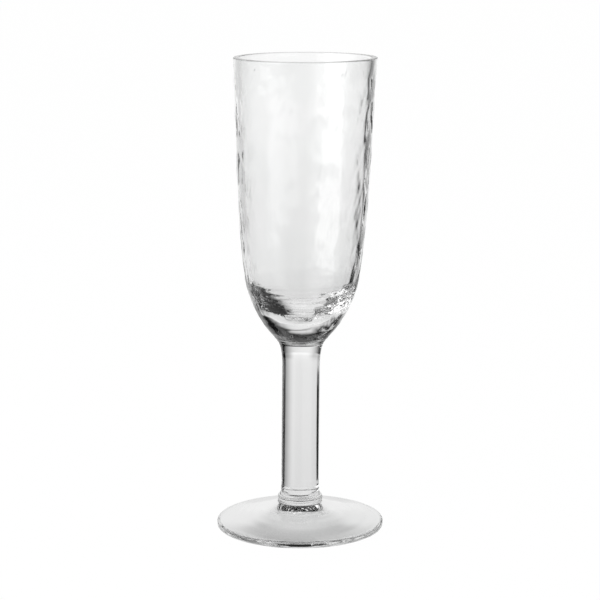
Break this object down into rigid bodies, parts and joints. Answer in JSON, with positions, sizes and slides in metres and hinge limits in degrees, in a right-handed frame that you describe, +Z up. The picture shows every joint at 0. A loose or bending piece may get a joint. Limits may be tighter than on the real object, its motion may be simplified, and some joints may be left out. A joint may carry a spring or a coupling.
{
  "type": "champagne glass",
  "caption": "Tall champagne glass: hammered clear glass bowl with a heavy base, thick solid stem, small collar and shallow round foot.",
  "frame": {"origin": "middle of the foot, on the surface that the glass stands on", "axes": "+Z up through the stem to the lip, +X to the right in the picture, the way the bowl leans by 2 mm, +Y away from the viewer"},
  "size_m": [0.071, 0.071, 0.2],
  "materials": {
    "bowl_glass": "clear, hammered outside, smooth inside, fire-polished lip",
    "stem_glass": "clear and polished, solid",
    "collar_glass": "clear and polished, solid",
    "foot_glass": "clear and polished, faint ripples from spinning"
  },
  "bodies": {
    "root": {"bowl": "bowl_glass", "stem": "stem_glass", "foot_collar": "collar_glass", "foot": "foot_glass"}
  },
  "joints": []
}
